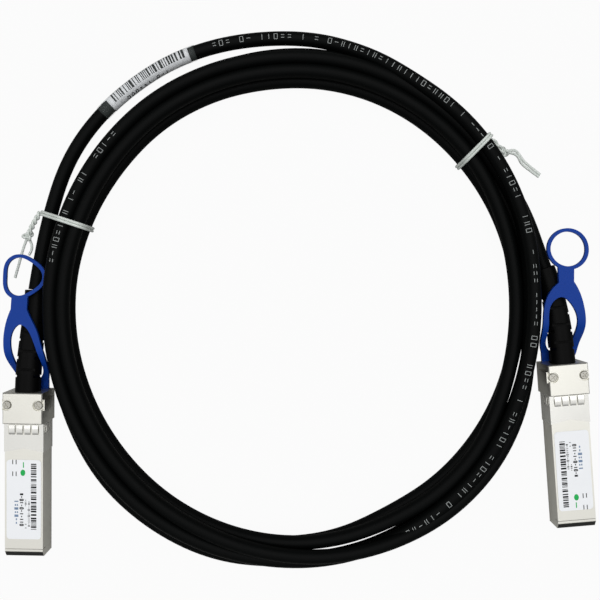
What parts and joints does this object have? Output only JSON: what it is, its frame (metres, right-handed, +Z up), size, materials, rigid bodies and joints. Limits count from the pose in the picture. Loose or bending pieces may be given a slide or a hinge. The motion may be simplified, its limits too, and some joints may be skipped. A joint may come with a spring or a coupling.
{
  "type": "direct attach copper cable",
  "caption": "Coiled copper network cable with a metal plug at each end, ribbed strain boots and finger-ring pull tabs that release the plugs.",
  "frame": {"origin": "middle of the two plugs' box, on the surface that the cable lies on", "axes": "+X from the left plug to the right plug, +Y from the plugs' mating ends towards their cable ends, +Z up"},
  "size_m": [0.2116, 0.1949, 0.0145],
  "materials": {
    "plated_casting": "satin nickel plate on a die casting",
    "spring_steel": "bright stamped spring steel",
    "screw_steel": "bright nickel",
    "label_paper": "white satin paper",
    "card_laminate": "green solder mask",
    "ferrule_metal": "nickel plate",
    "core_insulation": "foil and clear film",
    "boot_rubber": "satin moulded",
    "tab_plastic": "smooth satin moulded",
    "cable_jacket": "satin extruded",
    "clear_film": "clear shrink film",
    "tie_plastic": "translucent"
  },
  "bodies": {
    "cable_assembly": {"left_base": "plated_casting", "left_cover": "plated_casting", "left_emi_collar": "spring_steel", "left_cover_screws": "screw_steel", "left_plug_label": "label_paper", "left_paddle_card": "card_laminate", "left_cable_ferrule": "ferrule_metal", "left_wire_pairs": "core_insulation", "left_boot": "boot_rubber", "left_return_spring": "spring_steel", "right_base": "plated_casting", "right_cover": "plated_casting", "right_emi_collar": "spring_steel", "right_cover_screws": "screw_steel", "right_plug_label": "label_paper", "right_paddle_card": "card_laminate", "right_cable_ferrule": "ferrule_metal", "right_wire_pairs": "core_insulation", "right_boot": "boot_rubber", "right_return_spring": "spring_steel", "left_lead": "cable_jacket", "right_lead": "cable_jacket", "coil": "cable_jacket", "barcode_label": "label_paper", "clear_sleeve": "clear_film", "left_tie": "tie_plastic", "right_tie": "tie_plastic"},
    "left_release": {"left_pull_tab": "tab_plastic", "left_slider": "spring_steel"},
    "right_release": {"right_pull_tab": "tab_plastic", "right_slider": "spring_steel"}
  },
  "joints": [
    {"name": "left_tab_pull", "type": "slide", "parent": "cable_assembly", "child": "left_release", "axis": [0.0174, 0.999, 0.0416], "range_m": [0, 0.0025], "stiffness_N_per_m": 2000, "springref_m": -0.0015, "deforming": ["left_return_spring"]},
    {"name": "right_tab_pull", "type": "slide", "parent": "cable_assembly", "child": "right_release", "axis": [-0.0836, 0.9956, 0.0416], "range_m": [0, 0.0025], "stiffness_N_per_m": 2000, "springref_m": -0.0015, "deforming": ["right_return_spring"]}
  ]
}
